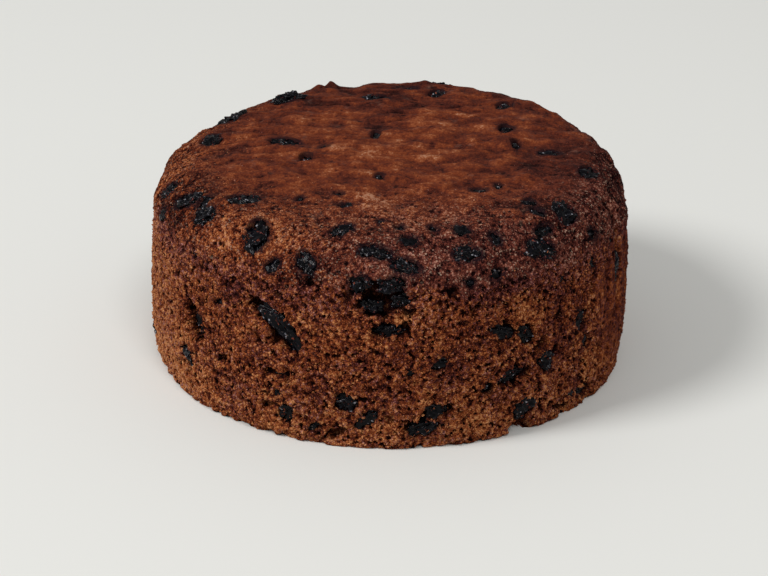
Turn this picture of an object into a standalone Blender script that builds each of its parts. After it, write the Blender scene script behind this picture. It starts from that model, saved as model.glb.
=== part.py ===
"""A round dark fruit cake from a paper-lined 18 cm tin: one crumb body, and the raisins in its surface.

Units are metres, +Z is up, the front faces -Y. The origin is the middle of the base, which stands on Z = 0.
Azimuths are degrees round the cake, 0 at the front and 90 at +X.
"""

import math

import bmesh
import bpy
from mathutils import Matrix, Vector, noise
from mathutils.bvhtree import BVHTree

MM = 0.001

# The cake's outline, in metres.
BASE_RADIUS = 0.0885
BASE_CORNER = 0.0018
BELLY = 0.0021  # how far the side swells past the base
BELLY_SHAPE = 0.65  # under 1 puts the widest place low on the side
SIDE_TOP = 0.0570  # where the side ends and the shoulder starts
SHOULDER_WIDTH = 0.0205
SHOULDER_HEIGHT = 0.0198
DOME_RISE = 0.0017  # from the shoulder's inner edge to the middle
SIDE_RINGS = 5
SHOULDER_RINGS = 5
DOME_RINGS = 4
TURN_STEPS = 56

# Unevenness of the baked cake, in metres.
LEVEL_BELOW = 0.002  # the base stays flat and round up to here
UNEVEN_ABOVE = 0.012
TILT_START = 0.030
TILT_RISE = 0.0024  # the back of the top stands this much above level
SIDE_LUMP = 0.0007
TOP_LUMP = 0.0013
LUMP_PITCH = 0.021
SWELL_START = 0.5  # of the radius
SWELL_FULL = 0.9

# How a raisin is made.
RAISIN_MERIDIANS = 8
RAISIN_RINGS = 4
FOLD_DEPTH = 0.13  # of its radius
RAISIN_LUMP = 0.22  # of its radius
RAISIN_LUMP_PITCH = 1.1  # in radii
RAISIN_BEND = 0.10  # how far its middle is pushed aside, in radii
THICKNESS_SHARE = 0.62  # thickness over width
CLEARANCE = 0.00035  # gap between a raisin and its socket
SOCKET_REACH = 0.0020  # how far a socket is drawn out past its raisin
SEED_STEP = Vector((3.7, 1.3, 8.9))  # sets each raisin's lumps apart
HOLLOW_SEGMENTS = 8
HOLLOW_RINGS = 6

# Where the shoulder rose more or less than its round: azimuth, spread in degrees, and height.
SWELLS = (
    (140.0, 32.0, 0.0016),
    (-118.0, 42.0, -0.0030),
)

# Raisins in the side: azimuth, height, length, width, lean of the long axis, and the depth of the face
# under the surface. Degrees and millimetres. A lean of 0 lies level, and a positive lean rises to the right,
# seen from outside.
SIDE_RAISINS = (
    (-24.5, 42, 20.5, 7.5, -41.5, 0.9),
    (-50, 33, 11.5, 4.5, -62, 2.0),
    (-54.5, 17.5, 9, 6, -53.5, 0.6),
    (-23.5, 10, 9, 5.5, 80, 0.2),
    (-9.5, 17.5, 8.5, 7, 30, 0.6),
    (-5, 11.5, 11.5, 5, 38.5, 0.3),
    (-7, 61, 8, 6, 35, 1.0),
    (0.5, 62, 9.5, 4.5, 5, 0.8),
    (-4, 54, 8, 4, -5, 1.4),
    (3, 55.5, 8, 4, 11.5, 1.2),
    (-0.5, 45, 9, 4.5, 8, 1.4),
    (-19.5, 66.5, 10, 5.5, -50, 0.1),
    (25.5, 41.5, 10, 4.5, -24, 0.4),
    (32, 38, 8.5, 4.5, -50, 0.9),
    (48.5, 36.5, 9, 6.5, 75, 0.4),
    (37, 26, 8.5, 6, -70, 0.1),
    (29, 24, 10.5, 4, 18, 1.5),
    (10.5, 15, 8, 4.5, 12, 0.3),
    (8, 7.5, 13, 5.5, 18, 0.3),
    (32, 9, 10.5, 8, 20, 0.0),
    (52, 5.5, 8, 5, 0, 0.3),
    (69.5, 43, 12, 6, 80, 0.7),
    (74, 11, 9, 6, -60, 0.1),
    (-81, 7.5, 9, 6.5, -70, -0.8),
    (37.5, 67, 13, 6.5, -20, -0.2),
    (3.5, 67, 11.5, 5, -18, -0.1),
    (-70.5, 62.5, 7, 4.5, 12, 0.2),
    # the side away from the front
    (102, 31, 12, 7, 60, 0.5),
    (121, 52, 11, 6, -20, 0.6),
    (137, 19, 14, 7, -35, 0.8),
    (158, 43, 10, 6.5, 70, 0.4),
    (176, 12, 11, 6, 5, 0.3),
    (194, 56, 13, 6, -15, 0.5),
    (211, 28, 15, 8, 40, 0.9),
    (233, 48, 9, 5, -60, 1.0),
    (254, 14, 10, 6.5, 15, 0.3),
)

# Raisins in the top and shoulder: x, y, length, width, heading of the long axis from +X, and the depth.
TOP_RAISINS = (
    (-40, 6, 15, 7, -24, 0.2),
    (-31, -9.5, 8, 4.5, 80, 0.5),
    (-6.5, 53, 12, 7, -10, 0.2),
    (59.5, 0.5, 9.5, 4.5, 1.5, 0.2),
    (44.5, 20, 8, 6, 60, 0.3),
    (47, 5, 9, 4.5, 85, 0.5),
    (45, 46, 9, 5.5, 60, 0.2),
    (-68.5, 12.5, 11, 7, 69, -0.6),
    (-41.5, 55, 12, 8, 24, -1.6),
    (-61.5, 38, 15, 7, 60, -1.3),
    (19, 59.5, 8.5, 6, 80, 0.0),
    (21, 77, 10, 6, 0, -0.9),
    (71.5, -15.5, 10, 6, 60, 0.1),
    (-51.5, -45, 14, 6.5, -20, -0.2),
    (-45.5, -65.5, 14.5, 8, -86, 0.3),
    (-16.5, -70.5, 10, 5, 22, -0.2),
    (-5, -79.5, 12, 5.5, -5, 0.0),
    (26, -77.5, 11, 5, 8, -0.3),
    (52.5, -61, 8.5, 4.5, 35, 0.0),
    (61, -50.5, 10.5, 8, 40, -0.5),
    (-65, -49, 9.5, 6.5, 6.5, -0.3),
    (-73, -36.5, 14, 6, -19, 0.2),
    (-81, -19.5, 10, 6, -34, -0.3),
)

# Hollows with no raisin of their own, in the side raisins' terms, where depth is how deep they go:
# the torn pocket behind the front cluster, and the bite out of the base edge.
HOLLOWS = (
    (-1.5, 57, 15, 13, 30, 3.0),
    (31.5, 1.5, 9, 8, 0, 5.0),
)

CRUMB_COLOUR = (0.155, 0.043, 0.014, 1.0)
RAISIN_COLOUR = (0.010, 0.008, 0.010, 1.0)


def clear_scene():
    for obj in list(bpy.data.objects):
        bpy.data.objects.remove(obj)


def new_collection(name):
    made = bpy.data.collections.new(name)
    bpy.context.scene.collection.children.link(made)
    return made


def new_material(name, colour, roughness):
    made = bpy.data.materials.new(name)
    made.use_nodes = True
    shader = made.node_tree.nodes["Principled BSDF"]
    shader.inputs["Base Color"].default_value = colour
    shader.inputs["Roughness"].default_value = roughness
    shader.inputs["Metallic"].default_value = 0.0
    made.diffuse_color = colour
    return made


def smoothstep(low, high, value):
    share = min(1.0, max(0.0, (value - low) / (high - low)))
    return share * share * (3.0 - 2.0 * share)


def outline():
    """Half of the cross-section as (radius, height), from the middle of the top down the side to the base."""
    points = []
    inner = BASE_RADIUS - SHOULDER_WIDTH
    for i in range(DOME_RINGS):
        share = i / DOME_RINGS
        rise = DOME_RISE * (1.0 - share * share)
        points.append((inner * share, SIDE_TOP + SHOULDER_HEIGHT + rise))
    for i in range(SHOULDER_RINGS + 1):
        angle = math.radians(90.0 * (1.0 - i / SHOULDER_RINGS))
        height = SIDE_TOP + SHOULDER_HEIGHT * math.sin(angle)
        points.append((inner + SHOULDER_WIDTH * math.cos(angle), height))
    for i in range(1, SIDE_RINGS + 1):
        share = 1.0 - i / SIDE_RINGS
        swell = BELLY * math.sin(math.pi * share**BELLY_SHAPE)
        points.append((BASE_RADIUS + swell, BASE_CORNER + (SIDE_TOP - BASE_CORNER) * share))
    points.append((BASE_RADIUS - BASE_CORNER, 0.0))
    points.append((0.0, 0.0))
    return points


def turned(name, points, collection):
    """The outline turned once round Z."""
    mesh = bpy.data.meshes.new(name)
    edges = [(i, i + 1) for i in range(len(points) - 1)]
    mesh.from_pydata([(radius, 0.0, height) for radius, height in points], edges, [])
    obj = bpy.data.objects.new(name, mesh)
    collection.objects.link(obj)
    screw = obj.modifiers.new("turn", "SCREW")
    screw.axis = "Z"
    screw.steps = TURN_STEPS
    screw.render_steps = TURN_STEPS
    screw.use_merge_vertices = True
    screw.merge_threshold = 0.00001
    screw.use_smooth_shade = True
    return obj


def applied(obj):
    """Replaces the object's mesh with its evaluated one."""
    graph = bpy.context.evaluated_depsgraph_get()
    mesh = bpy.data.meshes.new_from_object(obj.evaluated_get(graph))
    obj.modifiers.clear()
    obj.data = mesh
    return obj


def uneven(point):
    """The place that a point of the turned shape takes on the baked cake. The base stays flat."""
    radius = math.hypot(point.x, point.y)
    azimuth = math.degrees(math.atan2(point.x, -point.y))
    aloft = smoothstep(LEVEL_BELOW, UNEVEN_ABOVE, point.z)
    top = SIDE_TOP + SHOULDER_HEIGHT
    on_top = smoothstep(SIDE_TOP, top, point.z)
    rough = noise.fractal(point / LUMP_PITCH, 0.6, 2.0, 2) * aloft
    moved = point.copy()
    if radius > MM:
        outward = 1.0 + rough * SIDE_LUMP * (1.0 - on_top) / radius
        moved.x *= outward
        moved.y *= outward
    moved.z += rough * TOP_LUMP * on_top
    moved.z += TILT_RISE * (point.y / BASE_RADIUS) * smoothstep(TILT_START, top, point.z)
    outer = smoothstep(SWELL_START, SWELL_FULL, radius / BASE_RADIUS)
    for middle, spread, height in SWELLS:
        off = ((azimuth - middle + 180.0) % 360.0 - 180.0) / spread
        moved.z += height * math.exp(-off * off) * outer * on_top
    return moved


def crumb_body(collection):
    body = applied(turned("cake", outline(), collection))
    for vertex in body.data.vertices:
        vertex.co = uneven(vertex.co)
    return body


def raisin_mesh(name, length, width, seed):
    """A dried raisin: a flat lump, folded along its length. Its long axis is X, and its faces look along Z."""
    shape = bmesh.new()
    bmesh.ops.create_uvsphere(shape, u_segments=RAISIN_MERIDIANS, v_segments=RAISIN_RINGS, radius=1.0)
    bend = RAISIN_BEND * math.sin(2.0 * seed)
    for vertex in shape.verts:
        around = math.atan2(vertex.co.y, vertex.co.x)
        fold = math.cos(around * RAISIN_MERIDIANS / 2.0)
        lump = noise.noise(vertex.co / RAISIN_LUMP_PITCH + SEED_STEP * seed)
        swell = 1.0 + FOLD_DEPTH * fold + RAISIN_LUMP * lump
        vertex.co.x *= swell
        vertex.co.y *= swell
        vertex.co.x += bend * (1.0 - vertex.co.z * vertex.co.z)
    half = Vector((width, width * THICKNESS_SHARE, length)) / 2.0
    shape.transform(Matrix.Diagonal(half).to_4x4())
    length_to_x = Matrix(((0, 0, 1, 0), (1, 0, 0, 0), (0, 1, 0, 0), (0, 0, 0, 1)))
    shape.transform(length_to_x)
    mesh = bpy.data.meshes.new(name)
    shape.to_mesh(mesh)
    shape.free()
    mesh.shade_smooth()
    return mesh


def socket_mesh(mesh, name, reach):
    """The hull of the raisin grown by the clearance, drawn out through the cake's surface by the reach."""
    shape = bmesh.new()
    shape.from_mesh(mesh)
    shape.normal_update()
    grown = [vertex.co + vertex.normal * CLEARANCE for vertex in shape.verts]
    shape.clear()
    for place in grown:
        shape.verts.new(place)
        shape.verts.new(place + Vector((0.0, 0.0, reach)))
    hull = bmesh.ops.convex_hull(shape, input=shape.verts)
    inside = [item for item in hull["geom_interior"] if isinstance(item, bmesh.types.BMVert)]
    bmesh.ops.delete(shape, geom=inside, context="VERTS")
    bmesh.ops.recalc_face_normals(shape, faces=shape.faces)
    made = bpy.data.meshes.new(name)
    shape.to_mesh(made)
    shape.free()
    return made


def side_direction(azimuth):
    angle = math.radians(azimuth)
    return Vector((math.sin(angle), -math.cos(angle), 0.0))


def place_on(tree, start, direction, turn, depth, level):
    """The matrix of a lump that lies in the surface which a ray meets.

    The lump's Z looks out of the surface, its X is the level direction turned by the given angle,
    and its middle is under the surface by the depth.
    """
    hit, normal, _, _ = tree.ray_cast(start, direction)
    across = (level - normal * level.dot(normal)).normalized()
    along = Matrix.Rotation(math.radians(turn), 3, normal) @ across
    frame = Matrix((along, normal.cross(along), normal)).transposed().to_4x4()
    return Matrix.Translation(hit - normal * depth) @ frame


def side_place(tree, azimuth, height, turn, depth):
    outward = side_direction(azimuth)
    start = outward * 2.0 * BASE_RADIUS + Vector((0.0, 0.0, height * MM))
    return place_on(tree, start, -outward, turn, depth * MM, Vector((0, 0, 1)).cross(outward))


def top_place(tree, x, y, turn, depth):
    start = Vector((x * MM, y * MM, 2.0 * BASE_RADIUS))
    return place_on(tree, start, Vector((0, 0, -1)), turn, depth * MM, Vector((1, 0, 0)))


def add_raisin(name, place, length, width, depth, seed, parts, cutters, material):
    mesh = raisin_mesh(name, length * MM, width * MM, seed)
    mesh.materials.append(material)
    raisin = bpy.data.objects.new(name, mesh)
    raisin.matrix_world = place
    parts.objects.link(raisin)
    reach = max(0.0, depth * MM) + SOCKET_REACH
    cutter = bpy.data.objects.new(name + "_socket", socket_mesh(mesh, name + "_socket", reach))
    cutter.matrix_world = place
    as_cutter(cutter, cutters)


def as_cutter(obj, cutters):
    obj.hide_render = True
    obj.display_type = "WIRE"
    cutters.objects.link(obj)


def add_hollow(name, place, size, cutters):
    """An ellipsoid of this size, long axis X, that hollows the cake where it lies."""
    shape = bmesh.new()
    bmesh.ops.create_uvsphere(shape, u_segments=HOLLOW_SEGMENTS, v_segments=HOLLOW_RINGS, radius=0.5)
    shape.transform(Matrix.Rotation(math.radians(90.0), 4, "Y"))
    shape.transform(Matrix.Diagonal(Vector(size) * MM).to_4x4())
    mesh = bpy.data.meshes.new(name)
    shape.to_mesh(mesh)
    shape.free()
    cutter = bpy.data.objects.new(name, mesh)
    cutter.matrix_world = place
    as_cutter(cutter, cutters)


def cut(body, cutters):
    boolean = body.modifiers.new("sockets", "BOOLEAN")
    boolean.operation = "DIFFERENCE"
    boolean.operand_type = "COLLECTION"
    boolean.collection = cutters
    boolean.solver = "EXACT"


def centre_on_base(parts, cutters):
    """Moves everything so that the origin is the middle of the whole cake's box, on its base."""
    corners = [
        obj.matrix_world @ vertex.co
        for obj in parts.objects
        for vertex in obj.data.vertices
    ]
    lows = [min(corner[i] for corner in corners) for i in range(2)]
    highs = [max(corner[i] for corner in corners) for i in range(2)]
    shift = Vector(((lows[0] + highs[0]) / 2.0, (lows[1] + highs[1]) / 2.0, 0.0))
    for obj in [*parts.objects, *cutters.objects]:
        obj.matrix_world = Matrix.Translation(-shift) @ obj.matrix_world


def main():
    clear_scene()
    parts = new_collection("fruit_cake")
    cutters = new_collection("cutters")
    crumb = new_material("crumb", CRUMB_COLOUR, 0.85)
    fruit = new_material("raisin", RAISIN_COLOUR, 0.45)

    body = crumb_body(parts)
    body.data.materials.append(crumb)
    tree = BVHTree.FromObject(body, bpy.context.evaluated_depsgraph_get())

    for i, (azimuth, height, length, width, lean, depth) in enumerate(SIDE_RAISINS, 1):
        middle = depth + width * THICKNESS_SHARE / 2.0
        place = side_place(tree, azimuth, height, lean, middle)
        add_raisin(f"raisin_side_{i:02d}", place, length, width, depth, i, parts, cutters, fruit)
    for i, (x, y, length, width, heading, depth) in enumerate(TOP_RAISINS, 1):
        middle = depth + width * THICKNESS_SHARE / 2.0
        place = top_place(tree, x, y, heading, middle)
        seed = i + len(SIDE_RAISINS)
        add_raisin(f"raisin_top_{i:02d}", place, length, width, depth, seed, parts, cutters, fruit)
    for i, (azimuth, height, length, width, lean, depth) in enumerate(HOLLOWS, 1):
        place = side_place(tree, azimuth, height, lean, 0.0)
        add_hollow(f"hollow_{i}", place, (length, width, 2.0 * depth), cutters)
    cut(body, cutters)
    centre_on_base(parts, cutters)


main()
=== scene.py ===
"""The looks of a round dark fruit cake: a smooth baked top, an open crumbly side, and dried fruit in both.

Units are metres, +Z is up, and the front faces -Y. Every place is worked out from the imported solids.
Azimuths are degrees round the cake, 0 at the front and 90 at +X.
"""

import math

import bmesh
import bpy
import numpy as np
from mathutils import Matrix, Vector, noise
from mathutils.bvhtree import BVHTree


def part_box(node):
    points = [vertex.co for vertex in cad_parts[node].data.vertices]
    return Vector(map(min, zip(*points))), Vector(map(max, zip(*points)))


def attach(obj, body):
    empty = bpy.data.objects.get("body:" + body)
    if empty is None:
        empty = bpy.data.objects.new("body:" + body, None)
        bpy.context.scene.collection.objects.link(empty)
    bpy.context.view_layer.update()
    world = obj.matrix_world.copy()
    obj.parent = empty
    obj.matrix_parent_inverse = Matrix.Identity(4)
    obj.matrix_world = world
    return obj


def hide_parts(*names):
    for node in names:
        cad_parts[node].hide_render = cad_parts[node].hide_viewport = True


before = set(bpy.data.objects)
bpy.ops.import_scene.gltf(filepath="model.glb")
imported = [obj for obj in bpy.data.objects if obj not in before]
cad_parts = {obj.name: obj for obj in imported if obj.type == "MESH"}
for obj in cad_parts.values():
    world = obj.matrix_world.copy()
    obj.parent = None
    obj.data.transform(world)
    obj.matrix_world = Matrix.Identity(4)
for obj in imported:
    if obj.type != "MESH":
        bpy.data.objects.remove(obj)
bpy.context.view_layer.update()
MM = 0.001

# The guide that the cake's surface is measured from: level rays at the side, rays from the middle of the
# shoulder's curve, and upright rays on the top.
LOW, HIGH = (Vector(corner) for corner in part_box("cake"))
RADIUS = (HIGH.x - LOW.x) / 2.0
HEIGHT = HIGH.z - LOW.z
SIDE_SHARE = 0.72  # of the height, under the shoulder
SHOULDER = 0.26  # of the height and so of the shoulder's depth
COLUMNS = 480
SIDE_ROWS = 48
SHOULDER_ROWS = 26
TOP_ROWS = 50
ROW_STEP = 1.25 * MM
SMOOTHING = 3.2 * MM
BASE_CORNER = 1.2 * MM
SOCKET_STEP = 0.25 * MM  # what lies this far under its surroundings belongs to a socket
TOP_LOW, TOP_HIGH = 0.90 * HEIGHT, 0.965 * HEIGHT  # the rim's grainy crust ends and the top's smooth one starts

SETTLING = 0.30 * MM  # how much deeper the dressed fruit lies than its solid
PROUD_PLUMPING = 0.25  # how much thicker the fruit is that stands proud
FULL_RAGGED = 2.8 * MM  # half the width of the fruit and holes that have the full raggedness
CLINGING_SHADE = -0.22  # how much paler the crumbs on the fruit are than the side's
GRAIN_SINK = 0.22  # of its size, how deep each loose grain lies
RAISIN_MESH = (48, 30)  # meridians and rings
BIT_MESH = (22, 14)

VOXEL = 0.58 * MM
BODY_TRIANGLES = 194000


# ---------- arrays and noise

def fractal(points, pitch, seed, octaves=2):
    """Smooth noise about zero, for an array of points in metres."""
    shift = Vector((17.3, 5.1, 11.7)) * seed
    scale = 1.0 / pitch
    found = [noise.fractal(Vector(p) * scale + shift, 0.8, 2.0, octaves) for p in points.tolist()]
    return np.array(found)


def cells(points, pitch, seed):
    """Distance to the nearest and second nearest of scattered seeds, in pitches."""
    shift = Vector((3.1, 7.7, 2.9)) * seed
    scale = 1.0 / pitch
    found = [noise.voronoi(Vector(p) * scale + shift)[0][:2] for p in points.tolist()]
    return np.array(found)


def smoothstep(low, high, value):
    share = np.clip((value - low) / (high - low), 0.0, 1.0)
    return share * share * (3.0 - 2.0 * share)


def azimuth_of(points):
    return np.degrees(np.arctan2(points[:, 0], -points[:, 1]))


def vectors_of(items, key):
    flat = np.empty(len(items) * 3, np.float32)
    items.foreach_get(key, flat)
    return flat.reshape(-1, 3).astype(float)


def mesh_points(mesh):
    return vectors_of(mesh.vertices, "co")


def mesh_normals(mesh):
    return vectors_of(mesh.vertex_normals, "vector")


def set_points(mesh, points):
    mesh.vertices.foreach_set("co", points.astype(np.float32).ravel())
    mesh.update()


def finished(shape, name):
    """The mesh of a bmesh, which is freed."""
    mesh = bpy.data.meshes.new(name)
    shape.to_mesh(mesh)
    shape.free()
    return mesh


def new_object(name, mesh):
    made = bpy.data.objects.new(name, mesh)
    bpy.context.scene.collection.objects.link(made)
    return made


def applied(obj):
    """Replaces the object's mesh with its evaluated one."""
    graph = bpy.context.evaluated_depsgraph_get()
    mesh = bpy.data.meshes.new_from_object(obj.evaluated_get(graph))
    obj.modifiers.clear()
    old = obj.data
    obj.data = mesh
    bpy.data.meshes.remove(old)
    return obj


# ---------- the cake's even surface

def guide():
    """For each row of the surface, a ray's start (radius, height) and its way out (outwards, up)."""
    shoulder = SHOULDER * HEIGHT
    side_top = SIDE_SHARE * HEIGHT
    inner = RADIUS - shoulder
    rows = [(inner, side_top * (i + 0.15) / SIDE_ROWS, 1.0, 0.0) for i in range(SIDE_ROWS)]
    angles = [math.radians(90.0) * i / SHOULDER_ROWS for i in range(SHOULDER_ROWS)]
    rows += [(inner, side_top, math.cos(angle), math.sin(angle)) for angle in angles]
    rows += [(inner * (1.0 - i / TOP_ROWS), side_top, 0.0, 1.0) for i in range(TOP_ROWS)]
    return np.array(rows)


def blurred(grid, radii):
    """A Gaussian blur of the surface's rows and columns, as wide on the small rings as on the large ones."""
    turns = np.fft.rfftfreq(COLUMNS, 1.0 / COLUMNS)
    kernel = np.exp(-0.5 * (turns[None, :] * SMOOTHING / radii[:, None]) ** 2)
    grid = np.fft.irfft(np.fft.rfft(grid, axis=1) * kernel, COLUMNS, axis=1)
    across = np.concatenate([grid, np.roll(grid[::-1], COLUMNS // 2, axis=1)])
    waves = np.fft.fftfreq(len(across), ROW_STEP) * 2.0 * math.pi
    kernel = np.exp(-0.5 * (waves[:, None] * SMOOTHING) ** 2)
    return np.real(np.fft.ifft(np.fft.fft(across, axis=0) * kernel, axis=0))[: len(grid)]


def even_surface():
    """The cake's surface with its sockets filled and its facets smoothed, as one closed mesh."""
    tree = BVHTree.FromObject(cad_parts["cake"], bpy.context.evaluated_depsgraph_get())
    rows = guide()
    turns = np.arange(COLUMNS) * 2.0 * math.pi / COLUMNS
    ways = np.stack([np.sin(turns), -np.cos(turns)], axis=1)
    far = 2.0 * RADIUS
    reach = np.zeros((len(rows), COLUMNS))
    for i, (radius, height, out, up) in enumerate(rows):
        for j, way in enumerate(ways):
            start = Vector((way[0] * radius, way[1] * radius, height))
            ray = Vector((way[0] * out, way[1] * out, up))
            reach[i, j] = far - tree.ray_cast(start + ray * far, -ray)[3]
    radii = rows[:, 0] + rows[:, 2] * (RADIUS - rows[0, 0])
    even = blurred(reach, radii)
    for _ in range(6):
        kept = (reach > even - SOCKET_STEP) + 0.001
        even = blurred(reach * kept, radii) / blurred(kept, radii)

    rings = []
    for (radius, height, out, up), along in zip(rows, even):
        across = radius + along * out
        rings.append(np.stack([ways[:, 0] * across, ways[:, 1] * across, height + along * up], axis=1))
    base = rings[0] * (1.0 - BASE_CORNER / RADIUS)
    base[:, 2] = 0.0
    shape = bmesh.new()
    loops = [[shape.verts.new(point) for point in ring] for ring in [base, *rings]]
    for lower, upper in zip(loops, loops[1:]):
        for j in range(COLUMNS):
            k = (j + 1) % COLUMNS
            shape.faces.new((lower[j], lower[k], upper[k], upper[j]))
    peak = shape.verts.new((0.0, 0.0, rings[-1][:, 2].mean()))
    for j in range(COLUMNS):
        shape.faces.new((loops[-1][j], loops[-1][(j + 1) % COLUMNS], peak))
    shape.faces.new(loops[0][::-1])
    return finished(shape, "cake_surface")


# ---------- fruit: its places

class Spot:
    """Where a piece of fruit lies: its middle, its axes along, across and outwards, and half its sizes."""

    def __init__(self, middle, axes, half):
        self.middle = middle
        self.axes = axes
        self.half = half

    def local(self, points):
        return (points - self.middle) @ self.axes.T


def spot_of_node(name):
    """The place of a packed raisin, from the spread of its own points."""
    points = mesh_points(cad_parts[name].data)
    middle = (points.min(0) + points.max(0)) / 2.0
    axes = np.linalg.svd(points - points.mean(0), full_matrices=False)[2]
    outwards = middle - np.array([0.0, 0.0, HEIGHT / 2.0])
    if axes[2] @ outwards < 0.0:
        axes[2] *= -1.0
    axes[1] = np.cross(axes[2], axes[0])
    spread = (points - middle) @ axes.T
    middle = middle + (spread.max(0) + spread.min(0)) / 2.0 @ axes
    return Spot(middle, axes, (spread.max(0) - spread.min(0)) / 2.0)


def spot_on(tree, start, ray, turn, length, width, depth):
    """A place for small fruit where a ray meets the cake, its long axis turned from level by the given angle."""
    hit, normal = tree.ray_cast(Vector(start), Vector(ray))[:2]
    level = Vector((0.0, 0.0, 1.0)).cross(normal) if abs(normal.z) < 0.7 else Vector((1.0, 0.0, 0.0))
    level = (level - normal * level.dot(normal)).normalized()
    along = Matrix.Rotation(math.radians(turn), 3, normal) @ level
    axes = np.array([along, normal.cross(along), normal])
    half = np.array([length, width, 0.6 * width]) * MM / 2.0
    return Spot(np.array(hit - normal * (depth * MM + half[2])), axes, half)


def settled(spot, by):
    """The same place a little deeper and a little wider, so that the torn crumb trims the fruit's outline."""
    return Spot(spot.middle - spot.axes[2] * by, spot.axes, spot.half * [1.05, 1.12, 1.0])


def plumped(spot, by):
    """The same place with thicker fruit."""
    return Spot(spot.middle, spot.axes, spot.half * [1.0, 1.0, 1.0 + by])


# Fruit and holes too small to be solids of their own. At the side: azimuth, height, length, width, lean, depth of
# the face under the surface. On the top: x, y, length, width, heading, depth. Degrees and millimetres.
SIDE_BITS = (
    (-42, 45, 4, 3, 20, 0.9), (-25, 25, 4.5, 1.8, 10, 0.8), (-26, 17, 4, 3.2, 70, 0.9),
    (-17, 7, 5, 4, 60, 0.0), (-28, 63.5, 7, 4.5, 40, 0.1), (54, 55, 7, 4.5, -60, 0.3),
    (51.5, 26, 6, 4.5, -70, 0.6), (11, 32.5, 7.5, 4.6, 25, 0.3), (24.5, 62, 6, 4, 15, 0.5),
    (55.5, 65, 6, 4.5, -50, 0.2), (22, 20, 4.6, 4.2, 0, 2.0), (4.5, 30, 4, 3, 20, 0.4),
    (43, 54, 4, 2.4, 30, 0.8), (47, 8, 4.5, 3, 0, 0.4), (-52, 58, 4.4, 2.2, 10, 0.8),
    (-69, 43, 4, 2.6, 60, 0.7), (-68.5, 33, 5.5, 3.2, 70, 0.5), (64, 57, 5, 3, 80, 0.5),
    (18, 61, 4, 2.6, -10, 0.8), (98, 47, 6, 3, 30, 0.7), (112, 12, 5, 4, -20, 0.3),
    (129, 37, 5, 3, 60, 0.8), (147, 55, 6, 4, 10, 0.5), (166, 25, 7, 4, -30, 0.6),
    (185, 39, 5, 3, 80, 0.9), (201, 9, 6, 4.4, 15, 0.2), (219, 50, 5, 3.4, -50, 0.7),
    (-73, 61.5, 6, 4.5, 30, 0.3), (240, 27, 7, 3.6, 25, 0.8), (262, 41, 5, 3.2, -15, 0.7),
    (-88, 60, 6, 4, 20, 0.4),
)
TOP_BITS = (
    (-25, 1, 4, 3, 20, 0.1), (-6, 14, 8, 4, 80, 0.5), (-4, -27, 6, 3, 80, 0.1),
    (-32, -46, 5, 3, 80, 0.1), (-16, -52, 7, 5, 20, 0.1), (-18.5, -43, 4, 3, 30, 0.1),
    (-3.5, -64, 4, 3, 60, 0.3), (31, -37.5, 7, 4.5, 10, 0.1), (38, -34, 5, 3, 80, 0.2),
    (60, 52, 5, 3.5, -40, 0.2), (3, -67, 4, 3.4, 20, 0.3), (14, -67, 5, 3.6, -50, 0.1),
    (24, -67.5, 7.5, 5.5, -20, -0.3), (6, -74.5, 6.5, 5.5, 20, -0.2), (35.5, -69.5, 6.6, 4.5, -80, 0.1),
    (50.5, -53, 5.5, 5, 0, -0.2), (48.5, -46, 6, 5, 10, 0.0), (8, 66, 6, 3.6, -15, 0.0),
    (-65.5, -41.5, 8, 6, 30, 0.0),
)


def spot_at_side(tree, azimuth, height, length, width, lean, depth):
    angle = math.radians(azimuth)
    way = Vector((math.sin(angle), -math.cos(angle), 0.0))
    start = way * 2.0 * RADIUS + Vector((0.0, 0.0, height * MM))
    return spot_on(tree, start, -way, lean, length, width, depth)


def pits():
    """Small ragged pits all round the side, as the cavities are given."""
    generator = np.random.default_rng(11)
    lows = (-180.0, 4.0, 3.0, 1.6, -90.0, 0.8)
    highs = (180.0, 63.0, 6.5, 3.2, 90.0, 1.9)
    return [tuple(row) for row in generator.uniform(lows, highs, (PITS, 6))]


def small_spots(tree):
    spots = [spot_at_side(tree, *row) for row in SIDE_BITS]
    for x, y, length, width, heading, depth in TOP_BITS:
        start = (x * MM, y * MM, 2.0 * HEIGHT)
        spots.append(spot_on(tree, start, (0.0, 0.0, -1.0), heading, length, width, depth))
    return spots


# ---------- the cake's body

# Folds that the lining paper pressed into the side: azimuth, lowest and highest height, width, depth, in mm.
FOLDS = (
    (42, 30, 52, 1.6, 1.0), (50, 2, 30, 1.8, 1.8), (62, 30, 66, 1.3, 1.2), (69, 24, 74, 2.6, 3.0),
    (80, 2, 60, 2.6, 2.2), (90, 14, 58, 2.2, 1.6),
    (-38, 4, 34, 1.2, 0.45), (93, 5, 50, 1.5, 1.0), (118, 8, 56, 1.5, 1.0), (151, 4, 44, 1.3, 0.8),
    (169, 12, 60, 1.6, 1.2), (198, 6, 38, 1.3, 0.7), (226, 6, 58, 1.5, 1.1), (247, 14, 60, 1.4, 0.9),
    (268, 6, 52, 1.3, 0.8),
)

# Where the paper left a close, smooth skin: azimuth, height, length, width, in mm.
PRESSED = ((77, 30, 66, 64), (150, 30, 44, 50), (-130, 36, 40, 44))

# Where the crumb is torn into lumps, in the same terms.
TORN = (
    (-22, 62, 38, 16), (-3, 56, 36, 28), (-50, 50, 22, 20), (30, 53, 26, 14), (-23, 12, 32, 20), (12, 20, 26, 16),
    (42, 8, 26, 14), (130, 52, 30, 16), (-150, 50, 34, 18), (-105, 14, 30, 16), (175, 14, 30, 18),
)

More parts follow.
